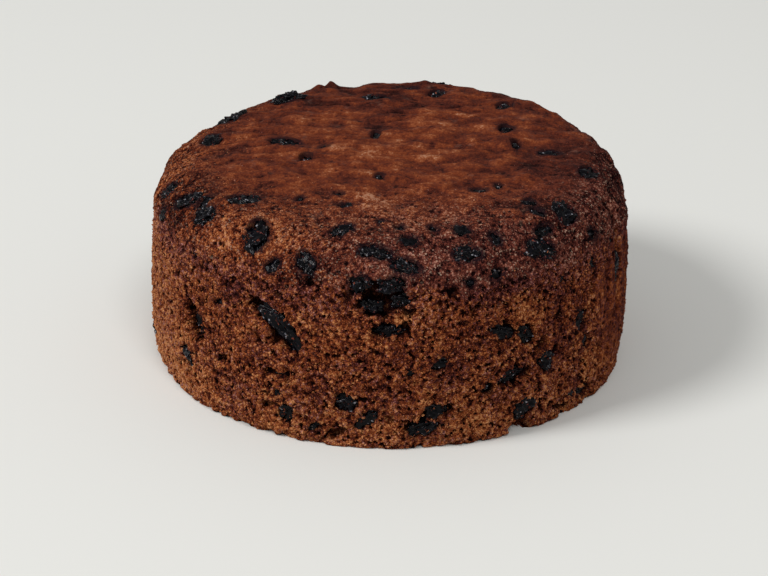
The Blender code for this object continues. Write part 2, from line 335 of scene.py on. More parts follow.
# Ragged holes torn in the side: azimuth, height, length, width, lean, how deep.
CAVITIES = (
    (-2.0, 57.5, 17, 12, 28, 2.3), (0.5, 46, 11, 5, 8, 2.4), (31.5, 2.0, 10, 8, 0, 4.0),
    (29, 24, 12.5, 5, 18, 2.8), (-51, 33, 15, 7.5, -62, 3.2), (-30.5, 48, 9, 6.5, -50, 3.2),
    (-24.5, 41, 17, 8.5, -48, 1.7), (10.5, 15, 9.5, 5, 12, 2.2), (-54, 17, 9, 6.5, -50, 2.2),
    (36, 33.5, 7, 4, 60, 1.4), (73, 12, 11, 5, -75, 2.2), (70, 52, 12, 3.5, 84, 2.0),
    (-27.5, 25, 5, 3, 20, 1.8), (25.5, 42, 11, 4.5, -24, 1.6), (32.5, 38, 9, 4.5, -50, 2.0),
    (6, 9, 8, 6, 30, 2.0), (44, 4, 9, 4, -10, 1.8), (-12, 5, 6, 4, 10, 1.6),
    (58, 18, 8, 3, 80, 1.4), (54, 47, 7, 3, 80, 1.4), (108, 24, 11, 6, 40, 2.2),
    (135, 50, 9, 5, -30, 1.8), (152, 14, 10, 6, 20, 2.4), (171, 47, 12, 6, -20, 2.6),
    (190, 22, 9, 5, 60, 2.0), (208, 44, 8, 5, -40, 1.8), (229, 10, 10, 6, 10, 2.2),
    (249, 36, 9, 5, 50, 2.0),
)

PITS = 130  # how many smaller ones are scattered all round

# Where the surface is painted paler (over 0) or darker: partly the bake's own tone and partly painted light and
# shade, such as glints on the shoulder over the front cavity and shade in a groove on the top. At the side:
# azimuth, height, length, width, and how much paler. On the top: x, y, length, width, and how much paler.
SIDE_PATCHES = (
    (-55, 10, 34, 20, 0.10), (-23, 7, 13, 13, 0.12), (-32, 38, 10, 9, 0.10), (0, 67, 28, 9, 0.08),
    (25, 66, 12, 7, 0.08), (23, 58, 26, 10, -0.14), (44, 39, 20, 26, -0.14), (12.7, 31, 15, 18, -0.14),
    (-15, 23, 9, 13, -0.14), (-20, 63, 18, 10, -0.18), (72, 42, 22, 56, -0.08), (-43, 65, 10, 5.5, 0.24),
    (2.5, 49.5, 5.5, 3.6, 0.32), (9, 50, 12, 8, 0.12), (31, 51, 17, 9, 0.14), (18, 7, 14, 10, 0.06),
    (-3, 42, 14, 9, 0.10), (-40, 15, 14, 12, -0.10), (48, 10, 10, 12, -0.06), (-66, 62, 20, 18, -0.12),
    (-38, 52, 12, 9, -0.12), (-58, 46, 12, 14, 0.06), (33, 24, 20, 12, -0.10),
)
TOP_PATCHES = (
    (-22, -62, 76, 24, 0.12), (68, -8, 38, 26, -0.24), (-36, 52, 30, 16, -0.16), (-3, 46, 22, 52, -0.17),
    (46, 72, 16, 10, -0.12), (-78, -30, 24, 32, -0.18), (54, -54, 22, 13, -0.16), (-2, 4, 34, 26, 0.05),
    (-52, -22, 42, 36, 0.08), (-70, 10, 20, 16, 0.06), (10, -47, 54, 26, 0.09), (62, 26, 34, 22, 0.08),
    (32, -62, 26, 14, 0.06),
)

# Lumps of crust: x, y, how wide and how high, in mm.
KNOBS = (
    (-24.5, 73, 2.0, 2.6), (-29, 70, 2.4, 1.2), (80.5, 10, 3.0, 2.0), (5, 79, 2.6, 1.0), (35, 75, 3.0, 1.1),
    (47, 68, 2.2, 1.3), (39, 76, 6.0, 1.1), (48, 71, 4.0, 0.8), (66, 47, 2.4, 0.9), (83, -6, 3.6, 1.6),
    (86, -20, 3.2, 1.4), (74, 24, 3.2, 1.2), (-75, 34, 3.4, 0.8), (-82, 14, 3.6, 0.7), (-50, 51, 2.4, 0.7),
    (14, 74, 2.2, 0.7), (58, 58, 3.2, 0.8), (-10, 80, 3.0, 0.7),
)


def crust_share(points):
    """1 on the baked crust of the top and shoulder, 0 on the open crumb of the side, across a ragged belt."""
    line = SIDE_SHARE * HEIGHT + 2.0 * MM + 4.0 * MM * fractal(points * [1.0, 1.0, 0.0], 14.0 * MM, 3)
    line += 1.8 * MM * fractal(points, 3.5 * MM, 4)
    return smoothstep(-4.5 * MM, 4.5 * MM, points[:, 2] - line)


def way_round(azimuth, middle, unit):
    """How far round the side each azimuth lies from a middle one, in units of that many metres."""
    return np.radians((azimuth - middle + 180.0) % 360.0 - 180.0) * RADIUS / unit


def side_ring(points, azimuth, middle, height, length, width):
    """How far each point lies from the middle of an area of the side, 1 at the area's edge."""
    off = way_round(azimuth, middle, 0.5 * length * MM)
    return np.hypot(off, (points[:, 2] / MM - height) / (0.5 * width))


def side_share(points, areas):
    """1 inside any of these areas of the side, 0 outside them, with uneven edges."""
    wobble = 0.35 * fractal(points, 9.0 * MM, 19, 3)
    azimuth = azimuth_of(points)
    share = np.zeros(len(points))
    for area in areas:
        share = np.maximum(share, 1.0 - smoothstep(0.75, 1.15, side_ring(points, azimuth, *area) + wobble))
    return share


def fold_depth(points):
    """How far the paper's folds press in at each point, in metres."""
    azimuth = azimuth_of(points) + 0.8 * fractal(points * [0.2, 0.2, 1.0], 12.0 * MM, 5)
    depth = np.zeros(len(points))
    for middle, low, high, width, deep in FOLDS:
        off = way_round(azimuth, middle, width * MM)
        along = smoothstep(low - 4, low + 6, points[:, 2] / MM) - smoothstep(high - 8, high + 2, points[:, 2] / MM)
        depth += deep * MM * np.exp(-off * off) * np.clip(along, 0.0, 1.0)
    return depth


def crumb_relief(points):
    """The open crumb's own relief, in mm: small lumps, and pores torn between them."""
    holes = cells(points, 2.2 * MM, 1)[:, 0]
    pores = 1.0 - smoothstep(0.12, 0.44, holes)
    rare = smoothstep(-0.15, 0.25, fractal(points, 5.0 * MM, 12))
    return 0.50 * fractal(points, 1.7 * MM, 11, 3) - (0.55 + 0.80 * rare) * pores


def waves(points):
    """1 along the shallow creases that run across the top, 0 between them."""
    return 1.0 - smoothstep(0.0, 0.30, np.abs(fractal(points * [0.30, 1.0, 0.0], 8.0 * MM, 13)))


def relief(points, crust):
    """How far each point of the even surface moves out, in metres."""
    top = smoothstep(TOP_LOW, TOP_HIGH, points[:, 2])
    side = 1.0 - crust
    rim = crust * (1.0 - top)
    open_crumb = crumb_relief(points)
    out = 0.45 * fractal(points, 19.0 * MM, 7)
    lumps = fractal(points, 3.4 * MM, 14)
    loose = (0.45 * lumps + open_crumb) * (1.0 - 0.60 * side_share(points, PRESSED))
    gaps = 1.0 - smoothstep(0.12, 0.50, cells(points, 4.6 * MM, 5)[:, 0])
    torn = side_share(points, TORN) * (0.60 * fractal(points, 3.0 * MM, 22) - 1.20 * gaps)
    out += side * (0.40 * fractal(points, 6.5 * MM, 8) + loose) + (1.0 - 0.7 * crust) * torn
    out += rim * (0.80 * fractal(points, 8.0 * MM, 9) + 0.40 * lumps + 0.50 * open_crumb)
    out += top * (0.95 * fractal(points, 11.0 * MM, 10) + 0.25 * lumps + 0.12 * open_crumb
                  + 0.75 * (0.3 - waves(points)))
    return out * MM


def ragged_share(points, local, half, raggedness, seed):
    """1 inside an ellipse with a torn edge, 0 outside it."""
    ragged = fractal(points, 4.2 * MM, seed + 40) + 0.5 * fractal(points, 1.5 * MM, seed + 41)
    grown = np.maximum(half[:2] + raggedness * MM * ragged[:, None], 0.35 * half[:2])
    ring = np.hypot(local[:, 0] / grown[:, 0], local[:, 1] / grown[:, 1])
    wall = 0.40 * MM / half[1]
    return 1.0 - smoothstep(1.0 - wall, 1.0 + wall, ring)


def raggedness_share(spot):
    return min(1.0, spot.half[1] / FULL_RAGGED)


def press_in(points, spot, grip, raggedness, floor, seed):
    """Presses the cake in where a piece of fruit lies or crumb is torn out, down to the floor's height in the
    spot's own frame. A grip over 1 leaves a gap round the fruit, and one under 1 lets the cake close over it."""
    local = spot.local(points)
    reach = 1.5 * spot.half[0] + 1.5 * MM
    near = np.nonzero((np.abs(local[:, :2]) < reach).all(1) & (np.abs(local[:, 2]) < 7.0 * MM))[0]
    if not len(near):
        return
    inside = ragged_share(points[near], local[near], spot.half * grip, raggedness, seed)
    bottom = floor * (1.0 + 0.5 * fractal(points[near], 2.4 * MM, seed + 42))
    drop = np.maximum(local[near, 2] - bottom, 0.0) * inside
    points[near] -= drop[:, None] * spot.axes[2]


def mounds(points, spots):
    """How far the crust is lifted by fruit that stands proud under it."""
    lift = np.zeros(len(points))
    for spot, proud in spots:
        if proud <= 0.0:
            continue
        off = (points - spot.middle) @ spot.axes.T / (spot.half * 1.5)
        lift += 0.75 * proud * np.exp(-(off[:, 0] ** 2 + off[:, 1] ** 2)) * np.exp(-0.3 * off[:, 2] ** 2)
    for x, y, wide, high in KNOBS:
        off = np.hypot(points[:, 0] / MM - x, points[:, 1] / MM - y) / wide
        lift += high * MM * np.exp(-off * off) * (points[:, 2] > HEIGHT / 2.0)
    return lift


def paler(points):
    """How much paler, or darker under 0, each point is painted: partly the bake's own tone and partly painted
    light and shade, with painted shade in the paper's folds and the top's creases and painted light on one flank
    of each fold.
    """
    wobble = 0.35 * fractal(points, 6.0 * MM, 18, 3)
    azimuth = azimuth_of(points)
    inner = np.hypot(points[:, 0], points[:, 1]) < 0.80 * RADIUS
    total = np.zeros(len(points))
    for *area, much in SIDE_PATCHES:
        off = side_ring(points, azimuth, *area) + wobble
        total += np.where(inner, 0.0, much * (1.0 - smoothstep(0.55, 1.35, off)))
    for x, y, length, width, much in TOP_PATCHES:
        off = np.hypot((points[:, 0] / MM - x) / (0.5 * length), (points[:, 1] / MM - y) / (0.5 * width)) + wobble
        total += np.where(points[:, 2] < 0.8 * HEIGHT, 0.0, much * (1.0 - smoothstep(0.55, 1.35, off)))
    aside = 2.6 * MM * np.stack([points[:, 1], -points[:, 0], np.zeros(len(points))], axis=1) / RADIUS
    top = smoothstep(TOP_LOW, TOP_HIGH, points[:, 2])
    # Painted shade along the top's creases.
    total += top * (0.04 - 0.13 * waves(points))
    # Painted shade in the paper's folds and painted light on one flank of each.
    return total + 110.0 * fold_depth(points + aside) - 140.0 * fold_depth(points)


def worn_base(points):
    """The base's edge where crumbs have come away from it."""
    low = 1.0 - smoothstep(0.8 * MM, 4.5 * MM, points[:, 2])
    rim = smoothstep(0.90 * RADIUS, 0.96 * RADIUS, np.hypot(points[:, 0], points[:, 1]))
    worn = 1.5 * smoothstep(0.0, 0.5, fractal(points, 6.0 * MM, 15))
    worn += 0.8 * smoothstep(0.0, 0.5, fractal(points, 2.2 * MM, 16))
    inwards = 1.0 - worn * MM * low * rim / RADIUS
    return points * np.stack([inwards, inwards, np.ones(len(points))], axis=1)


def crumb_body(spots, holes, surface):
    """The cake's body: the even surface with its relief, its folds, its torn holes and its sockets for fruit."""
    body = applied(remeshed(new_object("cake_crumb", surface)))
    points = mesh_points(body.data)
    normals = mesh_normals(body.data)
    loose = smoothstep(0.3 * MM, 3.0 * MM, points[:, 2])
    crust = crust_share(points)
    out = (relief(points, crust) - fold_depth(points)) * loose
    out += mounds(points, [(spot, -depth * MM) for spot, depth in spots])
    points += normals * out[:, None]
    for i, (spot, deep) in enumerate(holes):
        press_in(points, spot, 1.0, 2.6 * raggedness_share(spot), -deep * MM, i + 200)
    for i, (spot, depth) in enumerate(spots):
        sunk = float(smoothstep(0.1, 1.2, np.array(depth)))
        raggedness = (1.3 + 1.1 * sunk) * raggedness_share(spot)
        press_in(points, spot, 0.84 + 0.18 * sunk, raggedness, -0.35 * spot.half[2], i)
    points = worn_base(points)
    points[:, 2] = np.maximum(points[:, 2], 0.0)
    set_points(body.data, points)
    thinned(body)
    return body


def remeshed(obj):
    voxels = obj.modifiers.new("voxels", "REMESH")
    voxels.mode = "VOXEL"
    voxels.voxel_size = VOXEL
    return obj


def thinned(obj):
    """Brings the body under its number of triangles."""
    obj.data.calc_loop_triangles()
    thin = obj.modifiers.new("thin", "DECIMATE")
    thin.ratio = min(1.0, BODY_TRIANGLES / len(obj.data.loop_triangles))
    return applied(obj)


def add_values(mesh, name, values):
    mesh.attributes.new(name, "FLOAT", "POINT").data.foreach_set("value", values.astype(np.float32))


def stain(points, spots):
    """How much each point lies at or over fruit, from 0 to 1, fading out past the fruit's edge."""
    dark = np.zeros(len(points))
    for spot, _ in spots:
        off = spot.local(points)
        ring = np.hypot(off[:, 0] / spot.half[0], off[:, 1] / spot.half[1])
        gap = np.hypot(off[:, 0], off[:, 1]) * (1.0 - 1.0 / np.maximum(ring, 0.05))
        share = 1.0 - smoothstep(-0.8 * MM, 3.4 * MM, gap + 0.4 * np.abs(off[:, 2]))
        dark = np.maximum(dark, share)
    return dark


def mark_body(body, surface_tree, spots):
    """Writes what the materials need at each point: how deep it lies, how deep in the crumb's own pores, how much
    it is crust, and how near to fruit it is."""
    points = mesh_points(body.data)
    depth = np.zeros(len(points))
    even = np.zeros((len(points), 3))
    for i, point in enumerate(points.tolist()):
        near, normal = surface_tree.find_nearest(Vector(point))[:2]
        depth[i] = (near - Vector(point)).dot(normal)
        even[i] = near
    add_values(body.data, "depth", depth / MM)
    add_values(body.data, "pore", -crumb_relief(even))
    add_values(body.data, "crust", crust_share(points))
    add_values(body.data, "stain", stain(points, spots))
    add_values(body.data, "paler", paler(points))
    add_values(body.data, "pressed", side_share(points, PRESSED))


# ---------- dried fruit

def fruit_points(spot, seed, meridians, rings):
    """A dried fruit's points, ring by ring from end to end, and how deep each lies in a fold: a pillow with an
    uneven outline, long sharp folds and short creases."""
    around = np.arange(meridians) * 2.0 * math.pi / meridians
    along = np.pi * (np.arange(rings) + 0.5) / rings
    across = np.sin(along)[:, None] ** 0.75
    side = np.sign(np.cos(around)) * np.abs(np.cos(around)) ** 0.8
    out = np.sign(np.sin(around)) * np.abs(np.sin(around)) ** 0.8
    ends = -np.cos(along)[:, None] * np.ones(meridians)
    ball = np.stack([ends, across * side, across * out], axis=2).reshape(-1, 3)
    flat = ball * spot.half
    lump = 1.02 + 0.42 * fractal(ball, 0.8, seed + 60)
    bend = 0.16 * math.sin(3.0 * seed) * (1.0 - ball[:, 0] ** 2)
    drawn = flat * [0.35, 1.0, 1.0] + 0.6 * MM * fractal(ball, 0.7, seed + 65)[:, None]
    folds = 1.0 - smoothstep(0.0, 0.36, np.abs(fractal(drawn, 1.9 * MM, seed + 70)))
    creases = 1.0 - smoothstep(0.0, 0.30, np.abs(fractal(flat, 1.5 * MM, seed + 80)))
    inwards = (0.95 * folds + 0.50 * creases) * MM * min(1.0, spot.half[1] / (2.4 * MM))
    way = ball / np.linalg.norm(ball, axis=1)[:, None]
    local = flat * lump[:, None] - way * inwards[:, None]
    local[:, 1] += bend * spot.half[1]
    return local @ spot.axes + spot.middle, np.clip(0.7 * folds + 0.5 * creases, 0.0, 1.0)


def fruit_mesh(name, spots, meridians, rings):
    """One mesh of all these fruits."""
    points, folds, faces = [], [], []
    for seed, spot in spots:
        start = sum(len(part) for part in points)
        shape, folded = fruit_points(spot, seed, meridians, rings)
        points.append(shape)
        folds.append(folded)
        for i in range(rings - 1):
            for j in range(meridians):
                k = (j + 1) % meridians
                a = start + i * meridians
                b = a + meridians
                faces.append((a + j, a + k, b + k, b + j))
        faces.append(tuple(start + j for j in reversed(range(meridians))))
        faces.append(tuple(start + (rings - 1) * meridians + j for j in range(meridians)))
    mesh = bpy.data.meshes.new(name)
    mesh.from_pydata(np.concatenate(points), [], faces)
    mesh.shade_smooth()
    add_values(mesh, "fold", np.concatenate(folds))
    return mesh


# ---------- crumb grains

def scattered(body, count, wanted, generator):
    """Random places on the body, more where wanted is near 1, with the way out of the surface at each."""
    mesh = body.data
    mesh.calc_loop_triangles()
    corners = np.empty(len(mesh.loop_triangles) * 3, np.int32)
    mesh.loop_triangles.foreach_get("vertices", corners)
    corners = corners.reshape(-1, 3)
    points = mesh_points(mesh)
    normals = mesh_normals(mesh)
    a, b, c = (points[corners[:, i]] for i in range(3))
    weight = np.linalg.norm(np.cross(b - a, c - a), axis=1) * wanted[corners].mean(1)
    picked = generator.choice(len(corners), count, p=weight / weight.sum())
    share = generator.dirichlet((1.0, 1.0, 1.0), count)
    where = (points[corners[picked]] * share[:, :, None]).sum(1)
    out = (normals[corners[picked]] * share[:, :, None]).sum(1)
    return where, out / np.linalg.norm(out, axis=1)[:, None]


def grain_mesh(name, where, out, sizes, generator, shade=0.0):
    """Small angular lumps, one at each place, partly sunk in the surface, and that much paler than it."""
    corners = np.array([(1, 0, 0), (0, 1, 0), (-1, 0, 0), (0, -1, 0), (0, 0, 1), (0, 0, -1)]) * 0.6
    faces = np.array([f for i in range(4) for f in ((i, (i + 1) % 4, 4), ((i + 1) % 4, i, 5))])
    count = len(where)
    turns = np.linalg.qr(generator.normal(size=(count, 3, 3)))[0]
    turns[np.linalg.det(turns) < 0.0] *= -1.0
    uneven = corners[None] * generator.uniform(0.65, 1.25, (count, 6, 1))
    uneven = uneven + generator.normal(0.0, 0.10, (count, 6, 3))
    stretched = uneven * generator.uniform(0.7, 1.3, (count, 1, 3)) * sizes[:, None, None]
    points = np.einsum("nij,nvj->nvi", turns, stretched) + (where - out * sizes[:, None] * GRAIN_SINK)[:, None]
    points[:, :, 2] = np.maximum(points[:, :, 2], 0.0)
    mesh = bpy.data.meshes.new(name)
    all_faces = (faces[None] + 6 * np.arange(count)[:, None, None]).reshape(-1, 3)
    mesh.from_pydata(points.reshape(-1, 3), [], all_faces.tolist())
    own = {"tone": generator.uniform(0.0, 1.0, count), "paler": paler(where) + shade}
    own["pressed"] = side_share(where, PRESSED)
    for key, values in own.items():
        add_values(mesh, key, np.repeat(values, 6))
    return mesh


# ---------- material nodes

def add(tree, kind, inputs=None, **settings):
    """A shader node with its settings, its inputs set to values or linked to sockets."""
    made = tree.nodes.new("ShaderNode" + kind)
    for key, value in settings.items():
        setattr(made, key, value)
    for key, value in (inputs or {}).items():
        if isinstance(value, bpy.types.NodeSocket):
            tree.links.new(value, made.inputs[key])
        else:
            made.inputs[key].default_value = value
    return made


def place(tree):
    return add(tree, "TexCoord").outputs["Object"]


def vector_of(tree, operation, first, second):
    return add(tree, "VectorMath", {0: first, 1: second}, operation=operation).outputs[0]


def place_off(tree, shift):
    """Places moved aside, so that a second pattern of the same pitch doesn't repeat the first."""
    return vector_of(tree, "ADD", place(tree), (shift, 2.0 * shift, 0.5 * shift))


def noise_at(tree, pitch, detail=2.0, roughness=0.55, vector=None):
    """Smooth noise from 0 to 1 whose lumps are one pitch apart, in metres."""
    inputs = {"Vector": vector or place(tree), "Scale": 1.0 / pitch, "Detail": detail, "Roughness": roughness}
    return add(tree, "TexNoise", inputs).outputs[0]


def cells_at(tree, pitch, vector=None):
    """Scattered cells one pitch apart, each with its own random colour."""
    return add(tree, "TexVoronoi", {"Vector": vector or place(tree), "Scale": 1.0 / pitch})


def random_of(tree, found, channel):
    """One of the three random values of each cell, from 0 to 1."""
    return add(tree, "SeparateColor", {"Color": found.outputs["Color"]}).outputs[channel]


def value_at(tree, name):
    return add(tree, "Attribute", attribute_name=name).outputs["Fac"]


def math_of(tree, operation, *values):
    return add(tree, "Math", dict(enumerate(values)), operation=operation).outputs[0]


def product(tree, first, *others):
    for value in others:
        first = math_of(tree, "MULTIPLY", first, value)
    return first


def plus(tree, base, value, weight):
    """The base and the value times its weight."""
    return math_of(tree, "MULTIPLY_ADD", value, weight, base)


def step(tree, value, low, high):
    """0 below low, 1 above high, smooth between. Low may be the higher."""
    inputs = {"Value": value, "From Min": low, "From Max": high}
    return add(tree, "MapRange", inputs, interpolation_type="SMOOTHSTEP").outputs["Result"]


def spread(tree, value, low, high):
    """Value from 0 to 1 laid out from low to high."""
    return add(tree, "MapRange", {"Value": value, "To Min": low, "To Max": high}).outputs["Result"]


def blend(tree, share, first, second):
    """The second colour over the first, by the share."""
    made = add(tree, "Mix", data_type="RGBA")
    for socket, value in zip((made.inputs[0], made.inputs[6], made.inputs[7]), (share, first, second)):
        if isinstance(value, bpy.types.NodeSocket):
            tree.links.new(value, socket)
        else:
            socket.default_value = (*value, 1.0)
    return made.outputs[2]


def ramp(tree, value, *stops):
    """Colours at positions from 0 to 1."""
    made = add(tree, "ValToRGB", {"Fac": value})
    elements = made.color_ramp.elements
    while len(elements) < len(stops):
        elements.new(0.5)
    for element, (position, colour) in zip(elements, stops):
        element.position = position
        element.color = (*colour, 1.0)
    return made.outputs["Color"]


def bump(tree, height, distance, normal=None):
    inputs = {"Height": height, "Distance": distance}
    if normal:
        inputs["Normal"] = normal
    return add(tree, "Bump", inputs).outputs["Normal"]


def new_material(name):
    made = bpy.data.materials.new(name)
    made.use_nodes = True
    return made, made.node_tree, made.node_tree.nodes["Principled BSDF"]


def dress(shader, tree, colour, roughness, normal, specular):
    tree.links.new(colour, shader.inputs["Base Color"])
    tree.links.new(roughness, shader.inputs["Roughness"])
    tree.links.new(normal, shader.inputs["Normal"])
    shader.inputs["Specular IOR Level"].default_value = specular


# ---------- materials

# Colours at tones from 0 to 1.
OPEN_COLOURS = (
    (0.05, (0.0072, 0.0014, 0.0018)), (0.26, (0.046, 0.0080, 0.0038)), (0.45, (0.115, 0.0230, 0.0083)),
    (0.62, (0.207, 0.0485, 0.0150)), (0.80, (0.330, 0.0975, 0.0295)), (1.0, (0.500, 0.212, 0.083)),
)
CLOSED_COLOURS = (
    (0.05, (0.0072, 0.0017, 0.0026)), (0.30, (0.038, 0.0086, 0.0078)), (0.54, (0.093, 0.0232, 0.0211)),
    (0.78, (0.168, 0.0510, 0.0455)), (1.0, (0.320, 0.141, 0.128)),
)
CRUST_COLOURS = (
    (0.05, (0.0072, 0.0015, 0.0018)), (0.30, (0.036, 0.0082, 0.0070)), (0.54, (0.090, 0.0217, 0.0148)),
    (0.78, (0.163, 0.0450, 0.0295)), (1.0, (0.330, 0.148, 0.108)),
)
TOP_COLOURS = (
    (0.05, (0.014, 0.0034, 0.0030)), (0.30, (0.049, 0.0118, 0.0082)), (0.50, (0.098, 0.0212, 0.0108)),
    (0.70, (0.165, 0.0370, 0.0135)), (0.88, (0.265, 0.0800, 0.0310)), (1.0, (0.380, 0.180, 0.105)),
)
# The fruit's skin from fold to ridge: darkest in the folds, which is painted shade, and pale bluish grey on the
# highest ridges, partly the skin's own bloom and partly a painted highlight.
SKIN_COLOURS = (
    (0.10, (0.0004, 0.0004, 0.0012)), (0.50, (0.0009, 0.0009, 0.0027)), (0.74, (0.0038, 0.0038, 0.0072)),
    (0.88, (0.0170, 0.0165, 0.0230)), (1.0, (0.0560, 0.0500, 0.0540)),
)
# Painted shade: the near-black colours of pores at the side, the rim and the top.
SIDE_PORE_SHADE = (0.0070, 0.0014, 0.0010)
RIM_PORE_SHADE = (0.0070, 0.0016, 0.0014)
TOP_PORE_SHADE = (0.0090, 0.0020, 0.0016)
SMUDGE_COLOUR = (0.0110, 0.0060, 0.0085)  # what fruit leaves on the crust round it
# Painted shade deep in the torn holes and sockets.
HOLE_SHADE_COLOUR = (0.0035, 0.0010, 0.0013)
RIM_GLINT = (0.520, 0.345, 0.250)
TOP_GLINT = (0.450, 0.220, 0.135)
# Painted sheen: the pale patches where the top would reflect the light.
PAINTED_SHEEN_COLOUR = (0.260, 0.140, 0.100)
# Painted glints on the fruit's ridges.
FRUIT_GLINT_COLOUR = (0.340, 0.335, 0.370)
DUST_COLOUR = (0.20, 0.15, 0.125)
HUE_PITCH = 1.1 * MM
CLUMP_PITCH = 3.6 * MM


def weighted(tree, start, *terms):
    """A start plus each value's distance from a half times its weight."""
    total = start
    for value, weight in terms:
        total = plus(tree, total, math_of(tree, "SUBTRACT", value, 0.5), weight)
    return total


def hue_at(tree):
    """Noise by which two palettes mix from grain to grain."""
    return noise_at(tree, HUE_PITCH, 3.0, 0.8, place_off(tree, 0.59))


def crumb_colour(tree, fine, weight):
    """The side's colour: open orange crumb and closed red-brown crumb in small clumps, paler low down, and paler
    on the left as painted light from the side of the key lamp, with the given value and its weight for the finest
    grain."""
    wide = noise_at(tree, 17.0 * MM, 3.0, 0.55)
    clumps = noise_at(tree, 2.8 * MM, 4.0, 0.8)
    where = add(tree, "SeparateXYZ", {"Vector": place(tree)}).outputs
    low = step(tree, where["Z"], 0.40 * HEIGHT, 0.04 * HEIGHT)
    left = step(tree, where["X"], -0.70 * RADIUS, -1.0 * RADIUS)
    high = step(tree, where["Z"], 0.55 * HEIGHT, 0.80 * HEIGHT)
    paler_by_bake_and_light = value_at(tree, "paler")
    pressed = value_at(tree, "pressed")
    calm = plus(tree, 1.0, pressed, -0.55)
    fine = math_of(tree, "MULTIPLY_ADD", math_of(tree, "SUBTRACT", fine, 0.5), calm, 0.5)
    tone = weighted(tree, 0.535, (wide, 0.40), (clumps, 1.45), (fine, weight), (pressed, -0.04))
    tone = plus(tree, tone, low, 0.11)
    # Painted light: the left side, which the key lamp faces, is made paler.
    tone = plus(tree, tone, left, 0.20)
    tone = math_of(tree, "ADD", paler_by_bake_and_light, tone)
    closed = noise_at(tree, 12.0 * MM, 3.0, 0.6, place_off(tree, 0.31))
    closed = weighted(tree, 0.45, (closed, 0.6), (wide, -0.3), (hue_at(tree), 2.6), (high, 0.25))
    closed = plus(tree, closed, paler_by_bake_and_light, -0.8)
    closed = step(tree, plus(tree, closed, pressed, 0.1), 0.34, 0.66)
    return blend(tree, closed, ramp(tree, tone, *OPEN_COLOURS), ramp(tree, tone, *CLOSED_COLOURS))


def dusty_at(tree, where):
    """1 where the rim is dusty and dark, from the middle to the right, 0 at the left."""
    return step(tree, where["X"], -50.0 * MM, 10.0 * MM)


def rim_colour_of(tree, tone, dusty):
    """The rim's colour at a tone: as the open crumb at the left, greyer where it is dusty."""
    greyed = step(tree, weighted(tree, spread(tree, dusty, 0.35, 0.78), (hue_at(tree), 1.4)), 0.20, 0.80)
    return blend(tree, greyed, ramp(tree, tone, *OPEN_COLOURS), ramp(tree, tone, *CRUST_COLOURS))


def grain_at(tree, pitch):
    """Grain about one pitch across: its own random value, with a darker edge that is painted shade round each
    grain's dome, and its height.
    """
    wobble = vector_of(tree, "MULTIPLY", noise_at(tree, 0.9 * pitch, 1.0), (0.7 * pitch,) * 3)
    found = cells_at(tree, pitch, vector_of(tree, "ADD", place(tree), wobble))
    dome = step(tree, found.outputs["Distance"], 0.75, 0.15)
    return plus(tree, product(tree, random_of(tree, found, 0), 0.55), dome, 0.55), dome


def pores_at(tree, pitch, share, seed):
    """1 in scattered pores of uneven size. The share of the cells that hold one goes from 0 to 1."""
    wobble = add(tree, "TexNoise", {"Vector": place(tree), "Scale": 1.2 / pitch, "Detail": 1.0}).outputs["Color"]
    wobble = vector_of(tree, "MULTIPLY", wobble, (0.9 * pitch,) * 3)
    found = cells_at(tree, pitch, vector_of(tree, "ADD", wobble, place_off(tree, seed)))
    size = product(tree, spread(tree, random_of(tree, found, 1), share - 1.0, share), 0.62)
    return step(tree, math_of(tree, "SUBTRACT", found.outputs["Distance"], size), 0.06, -0.08)


